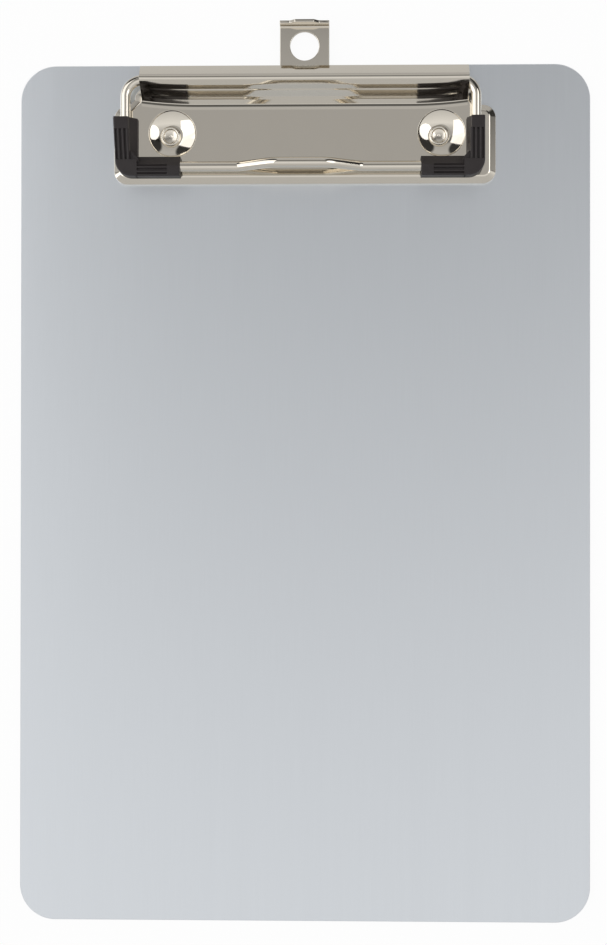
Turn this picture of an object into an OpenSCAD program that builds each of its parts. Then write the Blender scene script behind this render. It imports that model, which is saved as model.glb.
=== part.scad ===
// Flat aluminium memo clipboard with a low-profile wire clip on its top edge.
// Lengths in mm. X runs across the board, +Y towards the clip's edge, +Z out of the writing face.
// The origin is the centre of the board's back face.
// Positions called "down" are distances from the board's top edge towards the writer.

/* [Board] */
// Width of the board
board_w = 152.4; // [130:0.1:220]
// Length of the board
board_l = 229; // [160:0.5:320]
// Thickness of the board's sheet
board_t = 1.5; // [1.4:0.1:3]
// Radius of the board's corners
board_corner_r = 9.5; // [3:0.5:20]

/* [Base plate] */
// Thickness of the nickel-plated sheet
sheet_t = 0.6; // [0.4:0.05:0.7]
// Height of the flat field above the board
field_h = 2.3; // [2.2:0.1:2.8]
// Width of the plate over its feet
plate_w = 102; // [101:0.5:110]
// Back foot of the plate, down from the top edge
plate_back = 11; // [10.6:0.1:11.2]
// Front foot of the plate, down from the top edge
plate_front = 32; // [31.5:0.1:36]
// Radius of the plate's foot corners in plan
plate_corner_r = 3.5; // [3:0.1:5]
// Width of the sloped rim in plan
rim_w = 2.5; // [2.2:0.1:2.8]
// Height of the rim's upright foot
rim_foot_h = 0.5; // [0.2:0.1:0.6]
// Half width of the throat where it leaves the field
throat_wide = 46; // [45.5:0.1:47]
// Half width of the throat where it meets the hood
throat_narrow = 43; // [42.5:0.1:43.3]
// Length of the throat's slanting side, along the board
throat_run = 3; // [2.5:0.1:3.2]
// Plan radius of the throat's corners
throat_corner_r = 0.5; // [0.4:0.1:1]
// Length of the throat that runs in under the hood
throat_tuck = 1.6; // [1:0.1:1.8]

/* [Hood] */
// Length of the hood across the board
hood_w = 86.9; // [86.6:0.1:88]
// Crease between field and hood, down from the top edge
crease_down = 10.95; // [10.8:0.05:11.2]
// Height of the ridge above the board
ridge_h = 9.1; // [8.8:0.1:10]
// Ridge, down from the top edge
ridge_down = 5.4; // [5.2:0.1:5.6]
// Height of the back shoulder above the board
shoulder_h = 5.5; // [5.2:0.1:6]
// Back wall, down from the top edge
back_down = 1.38; // [1.1:0.02:1.5]
// Outer bend radius along the ridge
ridge_r = 1.1; // [0.8:0.1:1.4]
// Outer bend radius along the shoulder
shoulder_r = 0.9; // [0.8:0.1:1.2]
// Fillet radius in the crease
crease_r = 1.3; // [0.6:0.1:2]

/* [Dishes and rivets] */
// Distance between the two rivets
rivet_span = 71.7; // [66:0.1:74]
// Rivets, down from the top edge
rivet_down = 19.2; // [18.8:0.1:20]
// Rim radius of a dish at the field
dish_rim_r = 6.35; // [6:0.05:6.6]
// Radius of a dish's flat floor
dish_floor_r = 3.6; // [3.5:0.1:4]
// Side step of both dishes from their rivets
dish_side = 0.6; // [0:0.1:0.7]
// Step of both dishes from their rivets towards the hood
dish_up = 0.4; // [0:0.1:0.5]
// Radius of a rivet's shank
rivet_r = 1.6; // [1.3:0.1:1.8]
// Outer radius of the rolled rivet end
roll_r = 2.8; // [2.5:0.1:2.9]
// Radius of the hollow in the rolled end
hollow_r = 1; // [0.6:0.1:1.2]
// Radius of the flush head in the board's back
flush_r = 3; // [2.4:0.1:3.6]
// Depth of the flush head
flush_h = 0.8; // [0.5:0.1:1]
// Radial gap between a rivet and its holes
rivet_gap = 0.05; // [0.02:0.01:0.1]

/* [Bail] */
// Diameter of the bail's wire
wire_d = 2.7; // [2:0.1:2.8]
// Hinge axis, down from the top edge
hinge_down = 5; // [4.9:0.05:5.1]
// Hinge axis, height above the board
hinge_h = 4.6; // [4.5:0.05:4.8]
// Distance between the two arms
arm_span = 93; // [92.4:0.1:94]
// Bend radius between a leg and its arm
leg_bend_r = 4.5; // [3:0.1:5]
// Bend radius at the front corners
front_bend_r = 4; // [3:0.1:5]
// Axis of the front run, down from the top edge
front_down = 28; // [27.8:0.1:29]
// Height of the raised middle of the front run, which lifts the bail
hump_h = 5.5; // [3:0.1:7]
// Length of the hump's top, between the corners of its bends
hump_top = 14; // [10:0.1:18]
// Length of the hump's foot, between the corners of its bends
hump_foot = 32; // [30:0.1:40]
// Bend radius at the hump's foot
hump_foot_r = 4; // [3:0.1:5]
// Bend radius at the hump's top
hump_top_r = 7; // [4:0.1:8]
// Length of an inner leg, from the arm's axis to its end
leg_l = 25.5; // [24.5:0.1:28]
// Side play taken up by the bail, to the left
bail_side = 1; // [0:0.1:1.2]

/* [Corner caps] */
// Length of a cap from the front run's axis up the arm
cap_arm_l = 13; // [12:0.5:15]
// Length of a cap from the arm's axis along the front run
cap_run_l = 14.6; // [12:0.5:17]
// Band's outer side beyond the arm's axis
band_out = 2.6; // [2.2:0.1:2.8]
// Band's inner side inside the arm's axis
band_in = 1.6; // [1.5:0.1:2]
// Band's front side beyond the front run's axis
band_front = 2.8; // [2.2:0.1:2.9]
// Band's back side behind the front run's axis
band_back = 0.2; // [0:0.1:1]
// Band's top above the wire's axis
band_up = 2.3; // [2:0.1:2.6]
// Cap's underside below the wire's axis
band_under = 2; // [1.8:0.05:2]
// Chamfer along the band's outer edge
band_chamfer = 0.5; // [0.2:0.1:0.7]
// Width of the slanting step between band and lip
band_step = 0.2; // [0.1:0.1:0.3]
// Outer corner radius of a cap
cap_corner_r = 4.2; // [3:0.1:5]
// Width of the sloped lip beside the left arm
lip_left_arm = 1.5; // [0.6:0.1:1.6]
// Width of the sloped lip beside the right arm
lip_right_arm = 0.8; // [0.6:0.1:1.6]
// Width of the sloped lip beside the front run
lip_run = 2.5; // [2:0.1:2.8]
// Height of the arm lip's root above the wire's axis
lip_arm_root = 0.9; // [0.4:0.1:1.2]
// Height of the front lip's root above the wire's axis
lip_run_root = 2.1; // [2:0.1:2.3]
// Height of the arm lip's edge above the cap's underside
lip_arm_edge = 1; // [0.6:0.1:1.5]
// Height of the front lip's edge above the cap's underside
lip_run_edge = 1.7; // [1.6:0.1:2]
// Length of the plain block at each end of a cap
end_block = 3.4; // [2.5:0.1:4]
// Length of the plain corner block along the arm
corner_arm = 4.4; // [4:0.1:5]
// Length of the plain corner block along the front run
corner_run = 5.9; // [5:0.1:7]
// Number of grooves beside the arm
arm_grooves = 3; // [1:1:3]
// Number of grooves beside the front run
run_grooves = 2; // [1:1:2]
// Distance between grooves
groove_pitch = 1.15; // [1:0.05:1.3]
// Width of a groove
groove_w = 0.45; // [0.3:0.05:0.6]
// Depth of a groove
groove_deep = 0.45; // [0.2:0.05:0.6]
// First groove's centre from the band's outer side
groove_first = 0.7; // [0.6:0.1:0.8]
// Radial gap between cap and wire
cap_gap = 0.02; // [0.01:0.01:0.05]

/* [Springs and bearings] */
// Diameter of the spring wire
spring_wire_d = 0.6; // [0.4:0.05:0.6]
// Gap between spring coil and inner leg
spring_gap = 0.15; // [0.1:0.01:0.2]
// Advance of the coil per turn
spring_pitch = 1.15; // [1.05:0.05:1.3]
// Whole turns of a spring
spring_turns = 6; // [3:1:6]
// Distance from the end of an inner leg to the spring's tail in its slot
tail_inset = 0.6; // [0.4:0.1:0.8]
// Length of the spring's outer arm under the front wall
spring_arm = 4; // [2:0.5:5]
// Depth of the slot in the end of an inner leg
slot_deep = 3.6; // [3.2:0.1:4.5]
// Gap each side of the spring's tail in that slot
slot_gap = 0.1; // [0.05:0.05:0.2]
// Length of a bearing tube
bearing_l = 9.4; // [5:0.1:9.6]
// Gap between a bearing tube and the bend of the bail
bend_gap = 0.2; // [0.1:0.1:1]
// Radial running gap between inner leg and bearing
bearing_gap = 0.05; // [0.02:0.01:0.1]
// Gap between bearing and hood
seat_gap = 0.03; // [0.02:0.01:0.1]

/* [Hanging tab] */
// Width of the tab
tab_w = 13.2; // [11:0.1:15]
// Thickness of the tab
tab_t = 0.8; // [0.6:0.05:0.9]
// Outer face of the bent lip, beyond the board's top edge
tab_out = 11.1; // [10.6:0.05:13]
// Hole's centre beyond the board's top edge
tab_hole_out = 4.87; // [4.4:0.01:5]
// Diameter of the hanging hole
tab_hole_d = 7.7; // [5:0.1:7.8]
// Height of the lip at its sides
lip_side_h = 3.2; // [2.5:0.1:4]
// Height of the lip in its middle
lip_mid_h = 4.4; // [3.2:0.1:4.8]
// Width of the lip's raised middle at its top
lip_mid_w = 5; // [4:0.1:6.5]
// Width of the lip's raised middle at its foot
lip_foot_w = 7.8; // [7:0.1:10]
// Inner bend radius of the lip
lip_bend_r = 0.5; // [0.3:0.1:0.8]
// Width of the stop at the tab's hidden end
stop_w = 17; // [15.8:0.1:20]
// Length of the stop along the board
stop_l = 5; // [3:0.1:6]
// Gap between the stop and the back wall when the tab is out
stop_gap = 0.2; // [0.1:0.05:0.3]
// Gap between tab and board, and round the tab in its slot
tab_gap = 0.1; // [0.05:0.01:0.2]

/* [Hidden] */
$fn = 96;
// Facets round the corners of the plate's rim
facets = 32;
// Steps along a bend of the hood's section
bend_steps = 6;
// Overshoot of cutting bodies past a free face
over = 1;
// How far the hood's sheet runs on into the field, in front of the crease
hood_lap = 3;
// Angle from a spring's first axis to the top of its coil
top_angle = 90;

wire_r = wire_d / 2;
arm_x = arm_span / 2;
leg_end_x = arm_x - leg_l;
// Where the humped stretch of the front run starts, inside the caps
run_x = arm_x - cap_run_l / 2;
// Sides of the humped stretch's tube
wire_sides = 28;
// How much slimmer the humped stretch is than the straight wire
run_step = 0.02;
// Flat part of the field, inside the sloped rim
flat_x = plate_w / 2 - rim_w;
flat_back = plate_back + rim_w;
flat_front = plate_front - rim_w;
flat_corner_r = plate_corner_r - rim_w;
// Section of the rim as [outwards from the flat, height above the board], and the same one sheet inside
rim_outer = [[0, field_h], [rim_w, rim_foot_h], [rim_w, 0]];
rim_inner = [
    inset([-rim_w, field_h], rim_outer[0], rim_outer[1], sheet_t),
    inset(rim_outer[0], rim_outer[1], rim_outer[2], sheet_t),
    [rim_w - sheet_t, 0]
];
// Back end of the throat's straight sides
throat_end = flat_back - throat_run - throat_tuck;
// The bowl of a dish: height of its centre and its radius
floor_rise = field_h - sheet_t;
bowl_h = (field_h * field_h - sheet_t * sheet_t + dish_rim_r * dish_rim_r - dish_floor_r * dish_floor_r)
    / (2 * floor_rise);
bowl_r = norm([dish_floor_r, bowl_h - sheet_t]);
// Section of the hood as [along Y from the top edge, height above the board]
field_pt = [-plate_front, field_h];
crease_pt = [-crease_down, field_h];
ridge_pt = [-ridge_down, ridge_h];
shoulder_pt = [-back_down, shoulder_h];
foot_pt = [-back_down, 0];
// Where the hood's section starts on the field
hood_start = -crease_down - hood_lap;
// Inner corners of the same section, one sheet inside
crease_in = inset(field_pt, crease_pt, ridge_pt, sheet_t);
ridge_in = inset(crease_pt, ridge_pt, shoulder_pt, sheet_t);
shoulder_in = inset(ridge_pt, shoulder_pt, foot_pt, sheet_t);
hinge_pt = [-hinge_down, hinge_h];
front_wall_angle = atan2(ridge_h - field_h, crease_down - ridge_down);
// Room for the bearing between the front wall and the back slope
bearing_r = min(to_line(hinge_pt, crease_in, ridge_in), to_line(hinge_pt, ridge_in, shoulder_in))
    - seat_gap;
bearing_end = arm_x - leg_bend_r - bail_side - bend_gap;
tail_x = leg_end_x + bail_side + tail_inset;
coil_r = wire_r + spring_gap + spring_wire_d / 2;
spring_r = spring_wire_d / 2;
// Bend radius between the spring's tail and its coil, and points on that bend
tail_bend_r = spring_wire_d;
tail_steps = 4;
// Stations on one turn of the coil, and sides of the spring's tube
coil_steps = 20;
spring_sides = 6;
slot_w = spring_wire_d + 2 * slot_gap;
inner_back = back_down + sheet_t;

// Left-hand normal of the way from a to b
function left_of(a, b) = [a[1] - b[1], b[0] - a[0]] / norm(b - a);
// Corner b of the way a, b, c, moved t to the right of both edges
function inset(a, b, c, t) =
    let (n = left_of(a, b), m = left_of(b, c))
    b - t * (n + m) / (1 + n * m);
// Distance from a point to the line through a and b
function to_line(p, a, b) = abs(left_of(a, b) * (p - a));
// Corner b of the way a, b, c, rounded by an arc of radius r
function bend(a, b, c, r) =
    let (
        u = (b - a) / norm(b - a),
        v = (c - b) / norm(c - b),
        turn = atan2(u[0] * v[1] - u[1] * v[0], u * v),
        side = sign(turn),
        start = b - u * r * tan(abs(turn) / 2),
        centre = start + side * r * [-u[1], u[0]]
    )
    [for (i = [0 : bend_steps])
        let (q = turn * i / bend_steps, s = start - centre)
        centre + [s[0] * cos(q) - s[1] * sin(q), s[0] * sin(q) + s[1] * cos(q)]];
// Unit vector of v
function unit(v) = v / norm(v);
// Axis of the humped stretch, as points in the bail's axes
function run_path() =
    let (
        start = [-run_x, 0],
        foot = [-hump_foot / 2, 0],
        top = [-hump_top / 2, hump_h],
        half = concat([start], bend(start, foot, top, hump_foot_r),
                      bend(foot, top, [0, hump_h], hump_top_r)),
        n = len(half)
    )
    concat([for (p = half) [p[0], -front_down, p[1]]],
           [for (i = [n - 1 : -1 : 0]) [-half[i][0], -front_down, half[i][1]]]);

// Places children with y measured from the top edge and z from the board's face
module on_board() {
    translate([0, board_l / 2, board_t]) children();
}

// Extrudes a section drawn as [y, z] along X, centred
module across(width) {
    rotate([90, 0, 90])
    linear_extrude(width, center = true) children();
}

// Rod of radius r from p to q in the XY plane
module rod(p, q, r) {
    way = q - p;
    translate([p[0], p[1], 0])
    rotate([0, 90, atan2(way[1], way[0])])
    cylinder(r = r, h = norm(way));
}

module rounded_plan(half_x, back, front, r) {
    translate([-half_x + r, -front]) square([2 * (half_x - r), front - back]);
    translate([-half_x, -front + r]) square([2 * half_x, front - back - 2 * r]);
    for (x = [-half_x + r, half_x - r])
        for (y = [-front + r, -back - r])
            translate([x, y]) circle(r);
}

// Knob with the rim's section about a corner of the flat, whose own plan radius is flat_r
module knob(x, down, flat_r, rim) {
    translate([x, -down, 0])
    rotate_extrude($fn = facets)
    polygon(concat([[0, 0], [0, rim[0][1]]], [for (p = rim) [flat_r + p[0], p[1]]]));
}

// Flat field with a sloped rim, filled down to the board
module field_body(rim) {
    hull()
        for (side = [-1, 1])
            for (down = [flat_back + flat_corner_r, flat_front - flat_corner_r])
                knob(side * (flat_x - flat_corner_r), down, flat_corner_r, rim);
}

// Throat between field and hood, with the same sloped rim
module throat_body(rim) {
    hull()
        for (side = [-1, 1]) {
            knob(side * (throat_wide - throat_corner_r), flat_back, throat_corner_r, rim);
            knob(side * (throat_narrow - throat_corner_r), flat_back - throat_run, throat_corner_r, rim);
        }
}

// Everything that the plate's field and throat fill above the board
module pad_body(rim) {
    field_body(rim);
    intersection() {
        throat_body(rim);
        translate([-plate_w / 2, -flat_back, -over])
        cube([plate_w, flat_back - throat_end, field_h + 2 * over]);
    }
}

// The hood's section filled to the board; the inner one is the room inside the sheet
module hood_outer_section() {
    polygon(concat([[hood_start, 0], [hood_start, field_h]],
                   bend(field_pt, crease_pt, ridge_pt, crease_r),
                   bend(crease_pt, ridge_pt, shoulder_pt, ridge_r),
                   bend(ridge_pt, shoulder_pt, foot_pt, shoulder_r),
                   [foot_pt]));
}

module hood_inner_section() {
    polygon(concat([[hood_start, -over], [hood_start, floor_rise]],
                   bend([hood_start, floor_rise], crease_in, ridge_in, crease_r + sheet_t),
                   bend(crease_in, ridge_in, shoulder_in, ridge_r - sheet_t),
                   bend(ridge_in, shoulder_in, [-inner_back, -over], shoulder_r - sheet_t),
                   [[-inner_back, -over]]));
}

module dish_places() {
    for (side = [-1, 1])
        translate([side * rivet_span / 2 + dish_side, -rivet_down + dish_up, 0]) children();
}

module rivet_places() {
    for (side = [-1, 1])
        translate([side * rivet_span / 2, -rivet_down, 0]) children();
}

module dish_sheet() {
    intersection() {
        translate([0, 0, bowl_h]) sphere(bowl_r + sheet_t);
        cylinder(r = dish_rim_r + sheet_t, h = field_h);
    }
}

module dish_room() {
    intersection() {
        translate([0, 0, bowl_h]) sphere(bowl_r);
        translate([0, 0, sheet_t]) cylinder(r = dish_rim_r + over, h = field_h);
    }
}

module board() {
    color("silver")
    difference() {
        translate([0, board_l / 2, 0])
        linear_extrude(board_t) rounded_plan(board_w / 2, 0, board_l, board_corner_r);
        translate([0, board_l / 2, 0])
        rivet_places() {
            translate([0, 0, -over]) cylinder(r = rivet_r + rivet_gap, h = board_t + 2 * over);
            cylinder(r1 = flush_r + rivet_gap, r2 = rivet_r + rivet_gap, h = flush_h + rivet_gap);
        }
    }
}

module base_plate() {
    color("tan")
    on_board()
    difference() {
        union() {
            difference() {
                across(hood_w) hood_outer_section();
                across(hood_w + 2 * over) hood_inner_section();
            }
            difference() {
                pad_body(rim_outer);
                pad_body(rim_inner);
                across(hood_w - 2 * sheet_t) hood_inner_section();
            }
            dish_places() dish_sheet();
        }
        dish_places() dish_room();
        rivet_places()
        translate([0, 0, -over]) cylinder(r = rivet_r + rivet_gap, h = field_h + over);
        translate([-tab_w / 2 - tab_gap, -inner_back - over, -over])
        cube([tab_w + 2 * tab_gap, sheet_t + 2 * over, over + 2 * tab_gap + tab_t]);
    }
}

// Tubular rivet: flush head in the board's back, end rolled over in the dish
module rivet(side) {
    floor_z = board_t + sheet_t;
    roll_tube_r = (roll_r - hollow_r) / 2;
    color("gainsboro")
    translate([side * rivet_span / 2, board_l / 2 - rivet_down, 0])
    difference() {
        rotate_extrude()
        union() {
            polygon([[0, 0], [flush_r, 0], [rivet_r, flush_h], [0, flush_h]]);
            square([rivet_r, floor_z]);
            translate([0, floor_z])
            intersection() {
                union() {
                    square([roll_r - roll_tube_r, roll_tube_r]);
                    translate([roll_r - roll_tube_r, 0]) circle(roll_tube_r);
                }
                square([roll_r, roll_tube_r]);
            }
        }
        translate([0, 0, flush_h]) cylinder(r = hollow_r, h = floor_z + roll_r);
    }
}

// Quarter bend of the wire about a centre, from one angle on
module wire_bend(centre, bend_r, from, r) {
    translate([centre[0], centre[1], 0])
    rotate([0, 0, from])
    rotate_extrude(angle = 90) translate([bend_r, 0]) circle(r);
}

// One half of the bail's wire, from its inner leg's end to run_end on the front run,
// as a solid of radius r about its axis
module wire_half(run_end, r) {
    leg_turn = [arm_x - leg_bend_r, -hinge_down - leg_bend_r];
    front_turn = [arm_x - front_bend_r, -front_down + front_bend_r];
    rod([leg_end_x, -hinge_down], [leg_turn[0], -hinge_down], r);
    wire_bend(leg_turn, leg_bend_r, 0, r);
    rod([arm_x, leg_turn[1]], [arm_x, front_turn[1]], r);
    wire_bend(front_turn, front_bend_r, -90, r);
    rod([front_turn[0], -front_down], [run_end, -front_down], r);
}

// Places children on the bail's plane, with the side play taken up
module on_bail() {
    on_board()
    translate([-bail_side, 0, hinge_h]) children();
}

module bail_wire() {
    color("tan")
    on_bail()
    difference() {
        union() {
            for (side = [0, 1])
                mirror([side, 0, 0]) wire_half(run_x, wire_r);
            tube(run_path(), wire_r - run_step, wire_sides, [0, 1, 0]);
        }
        for (side = [-1, 1])
            translate([side * (leg_end_x + slot_deep / 2 - over / 2), -hinge_down, 0])
            cube([slot_deep + over, slot_w, wire_d + over], center = true);
    }
}

// Section of a cap's leg as [outwards from the wire's axis, height above it]. The band reaches from
// -inner to outer, and the lip slopes on inwards from the height root to the height edge.
module cap_section(outer, inner, lip, root, edge) {
    polygon([[outer, -band_under], [outer, band_up - band_chamfer], [outer - band_chamfer, band_up],
             [band_step - inner, band_up], [-inner, root], [-inner - lip, edge - band_under],
             [-inner - lip, -band_under]]);
}

// Grooves along a leg from its corner block to its end block, drawn along X
module cap_grooves(start, end, outer, n) {
    for (i = [0 : n - 1])
        translate([start, outer - groove_first - i * groove_pitch - groove_w / 2, band_up - groove_deep])
        cube([end - start, groove_w, groove_deep + over]);
}

// Right-hand cap about the corner of the wire's axes, which lies at the origin, with the lip
// beside its arm given as arm_lip
module cap_shape(arm_lip) {
    plan_w = cap_run_l + band_out;
    plan_l = cap_arm_l + band_front;
    intersection() {
        union() {
            rotate([90, 0, 0])
            translate([0, 0, -cap_arm_l])
            linear_extrude(plan_l)
            cap_section(band_out, band_in, arm_lip, lip_arm_root, lip_arm_edge);
            rotate([90, 0, -90])
            translate([0, 0, -band_out])
            linear_extrude(plan_w)
            cap_section(band_front, band_back, lip_run, lip_run_root, lip_run_edge);
        }
        translate([-cap_run_l, -band_front, -band_under])
        linear_extrude(band_under + band_up)
        union() {
            translate([0, cap_corner_r]) square([plan_w, plan_l - cap_corner_r]);
            square([plan_w - cap_corner_r, plan_l]);
            translate([plan_w - cap_corner_r, cap_corner_r]) circle(cap_corner_r);
        }
    }
}

module corner_cap(arm_lip) {
    translate([arm_x, -front_down, 0])
    difference() {
        cap_shape(arm_lip);
        rotate([0, 0, 90]) mirror([0, 1, 0])
        cap_grooves(corner_arm - band_front, cap_arm_l - end_block, band_out, arm_grooves);
        mirror([1, 0, 0]) mirror([0, 1, 0])
        cap_grooves(corner_run - band_out, cap_run_l - end_block, band_front, run_grooves);
        translate([-arm_x, front_down, 0]) wire_half(arm_x - cap_run_l - over, wire_r + cap_gap);
    }
}

module corner_cap_left() {
    color("#3a3232")
    on_bail()
    mirror([1, 0, 0]) corner_cap(lip_left_arm);
}

module corner_cap_right() {
    color("#3a3232")
    on_bail() corner_cap(lip_right_arm);
}

// Tab drawn flat in the board's axes, with its lip bent up at the outer end
module hang_tab() {
    slab_z = tab_gap;
    bend_out_r = lip_bend_r + tab_t;
    side_h = lip_side_h - bend_out_r;
    mid_h = lip_mid_h - bend_out_r;
    stop_y = -inner_back - stop_gap;
    color("darkkhaki")
    on_board()
    translate([0, 0, slab_z])
    difference() {
        union() {
            translate([-tab_w / 2, stop_y - stop_l, 0])
            cube([tab_w, tab_out - bend_out_r - stop_y + stop_l, tab_t]);
            translate([-stop_w / 2, stop_y - stop_l, 0]) cube([stop_w, stop_l, tab_t]);
            translate([0, tab_out - bend_out_r, bend_out_r])
            across(tab_w)
            difference() {
                circle(bend_out_r);
                circle(lip_bend_r);
                translate([-2 * bend_out_r, -bend_out_r]) square([2 * bend_out_r, 2 * bend_out_r]);
                translate([-bend_out_r, 0]) square([2 * bend_out_r, bend_out_r]);
            }
            translate([0, tab_out, bend_out_r])
            rotate([90, 0, 0])
            linear_extrude(tab_t)
            polygon([[-tab_w / 2, 0], [tab_w / 2, 0], [tab_w / 2, side_h], [lip_foot_w / 2, side_h],
                     [lip_mid_w / 2, mid_h], [-lip_mid_w / 2, mid_h], [-lip_foot_w / 2, side_h],
                     [-tab_w / 2, side_h]]);
        }
        translate([0, tab_hole_out, -over]) cylinder(r = tab_hole_d / 2, h = tab_t + 2 * over);
    }
}

// Centre line of a spring: tail in the leg's slot, bend, coil, straight outer arm.
// Points are [along X from the tail, along Y and Z from the hinge axis].
function spring_path() =
    let (
        last_turn = top_angle + spring_turns * 360 + front_wall_angle,
        first = top_angle + asin(tail_bend_r / coil_r),
        steps = floor(coil_steps * (last_turn - first) / 360),
        coil_top = coil_r * sin(first),
        tail = [[0, 0, -wire_r / 2], [0, 0, 0]],
        corner = [for (i = [0 : tail_steps - 1])
            let (q = top_angle * i / tail_steps)
            [0, -tail_bend_r * (1 - cos(q)), coil_top - tail_bend_r * (1 - sin(q))]],
        coil = [for (i = [0 : steps])
            let (q = first + (last_turn - first) * i / steps)
            [spring_pitch * (q - first) / 360, coil_r * cos(q), coil_r * sin(q)]],
        end = coil[len(coil) - 1],
        arm = [for (i = [1 : 2])
            end + spring_arm * i / 2 * [0, -cos(front_wall_angle), -sin(front_wall_angle)]]
    )
    concat(tail, corner, coil, arm);

// Tube along a path whose tangents are never along the direction given as across_way
module tube(path, r, sides, across_way) {
    n = len(path);
    rings = [for (i = [0 : n - 1])
        let (
            way = unit(path[min(i + 1, n - 1)] - path[max(i - 1, 0)]),
            a = unit(cross(way, across_way)),
            b = cross(way, a)
        )
        for (k = [0 : sides - 1])
            path[i] + r * (cos(360 * k / sides) * a + sin(360 * k / sides) * b)];
    sides_faces = [for (i = [0 : n - 2])
        for (k = [0 : sides - 1])
            let (
                p = i * sides + k,
                q = i * sides + (k + 1) % sides
            )
            for (f = [[p, p + sides, q], [q, p + sides, q + sides]]) f];
    cap_faces = [for (k = [1 : sides - 2])
        for (f = [[0, k, k + 1], [(n - 1) * sides, (n - 1) * sides + k + 1, (n - 1) * sides + k]]) f];
    polyhedron(rings, concat(sides_faces, cap_faces));
}

module spring() {
    color("dimgray")
    on_board()
    translate([tail_x, -hinge_down, hinge_h]) tube(spring_path(), spring_r, spring_sides, [1, 0, 0]);
}

module spring_left() {
    mirror([1, 0, 0]) spring();
}

module spring_right() {
    spring();
}

// Tube tucked between the hood's front wall and back slope, which carries an inner leg
module bearing() {
    color("gray")
    on_board()
    translate([bearing_end - bearing_l, -hinge_down, hinge_h])
    rotate([0, 90, 0])
    difference() {
        cylinder(r = bearing_r, h = bearing_l);
        translate([0, 0, -over]) cylinder(r = wire_r + bearing_gap, h = bearing_l + 2 * over);
    }
}

module bearing_left() {
    mirror([1, 0, 0]) bearing();
}

module bearing_right() {
    bearing();
}

board();
base_plate();
bail_wire();
corner_cap_left();
corner_cap_right();
hang_tab();
rivet(-1);  // rivet_left
rivet(1);  // rivet_right
spring_left();
spring_right();
bearing_left();
bearing_right();
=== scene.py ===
"""Studio scene for a flat aluminium memo clipboard with a low-profile wire clip.

Lengths are written in millimetres and turned into metres where a mesh is made. X runs across the board,
+Y towards the clip's edge and +Z out of the writing face. The origin is the centre of the board's back face.
"""

import logging
import math
from dataclasses import dataclass, field
from enum import Enum
from typing import Sequence

import bmesh
import bpy
from mathutils import Euler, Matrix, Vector


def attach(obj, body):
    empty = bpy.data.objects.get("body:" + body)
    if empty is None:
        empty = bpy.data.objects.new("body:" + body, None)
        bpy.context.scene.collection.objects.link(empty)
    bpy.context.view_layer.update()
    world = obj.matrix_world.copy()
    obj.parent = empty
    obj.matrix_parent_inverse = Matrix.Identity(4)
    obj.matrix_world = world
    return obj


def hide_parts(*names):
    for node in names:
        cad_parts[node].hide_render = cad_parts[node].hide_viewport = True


MM = 0.001
IMAGE_W = 607
IMAGE_H = 945
Point2 = tuple[float, float]
Point3 = tuple[float, float, float]

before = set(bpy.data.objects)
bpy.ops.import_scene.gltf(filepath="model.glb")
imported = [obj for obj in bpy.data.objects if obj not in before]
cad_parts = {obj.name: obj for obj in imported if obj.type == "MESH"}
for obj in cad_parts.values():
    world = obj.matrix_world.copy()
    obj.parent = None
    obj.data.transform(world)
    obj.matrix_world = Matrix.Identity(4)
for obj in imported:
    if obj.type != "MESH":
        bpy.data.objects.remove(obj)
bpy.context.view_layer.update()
log = logging.getLogger("clipboard")


class Body(Enum):
    """The three rigid bodies that the pieces ride on."""

    BOARD = "board_and_plate"
    BAIL = "bail"
    TAB = "tab"


class Slot(Enum):
    """The record's material slots."""

    ALUMINIUM = "brushed_aluminium"
    NICKEL = "nickel_plate"
    RUBBER = "black_rubber"
    SPRING = "spring_steel"
    STEEL = "plain_steel"


def arc(centre: Point2, radius: float, start: float, end: float, steps: int) -> list[Point2]:
    """Points along a circle's arc.

    Args:
        centre: The arc's centre.
        radius: The arc's radius.
        start: First angle in degrees.
        end: Last angle in degrees.
        steps: Number of stretches between the points.

    Returns:
        The points from the first angle to the last.
    """
    turns = [math.radians(start + (end - start) * i / steps) for i in range(steps + 1)]
    return [(centre[0] + radius * math.cos(t), centre[1] + radius * math.sin(t)) for t in turns]


def rounded(points: Sequence[Point2], radii: Sequence[float], steps: int, closed: bool) -> list[Point2]:
    """A polyline whose corners are rounded by tangent arcs.

    Args:
        points: The corners, in order.
        radii: One radius per corner; 0 keeps the corner.
        steps: Stretches along each arc.
        closed: Whether the last point joins the first.

    Returns:
        The points of the rounded line.
    """
    out: list[Point2] = []
    count = len(points)
    for i, radius in enumerate(radii):
        here = Vector(points[i])
        if radius <= 0 or (not closed and i in (0, count - 1)):
            out.append(points[i])
            continue
        came = (here - Vector(points[i - 1])).normalized()
        goes = (Vector(points[(i + 1) % count]) - here).normalized()
        turn = math.atan2(came.x * goes.y - came.y * goes.x, came.dot(goes))
        side = math.copysign(1.0, turn)
        start = here - came * radius * math.tan(abs(turn) / 2)
        centre = start + side * radius * Vector((-came.y, came.x))
        spoke = start - centre
        for k in range(steps + 1):
            t = turn * k / steps
            out.append((centre.x + spoke.x * math.cos(t) - spoke.y * math.sin(t),
                        centre.y + spoke.x * math.sin(t) + spoke.y * math.cos(t)))
    return out


def inset_line(points: Sequence[Point2], distance: float) -> list[Point2]:
    """An open line moved to its right-hand side by a distance, point by point."""
    out: list[Point2] = []
    last = len(points) - 1
    for i, point in enumerate(points):
        ways = []
        if i > 0:
            ways.append((Vector(point) - Vector(points[i - 1])).normalized())
        if i < last:
            ways.append((Vector(points[i + 1]) - Vector(point)).normalized())
        normals = [Vector((w.y, -w.x)) for w in ways]
        total = sum(normals, Vector((0.0, 0.0)))
        scale = distance / max(1e-6, total.normalized().dot(normals[0]))
        moved = Vector(point) + total.normalized() * scale
        out.append((moved.x, moved.y))
    return out


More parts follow.
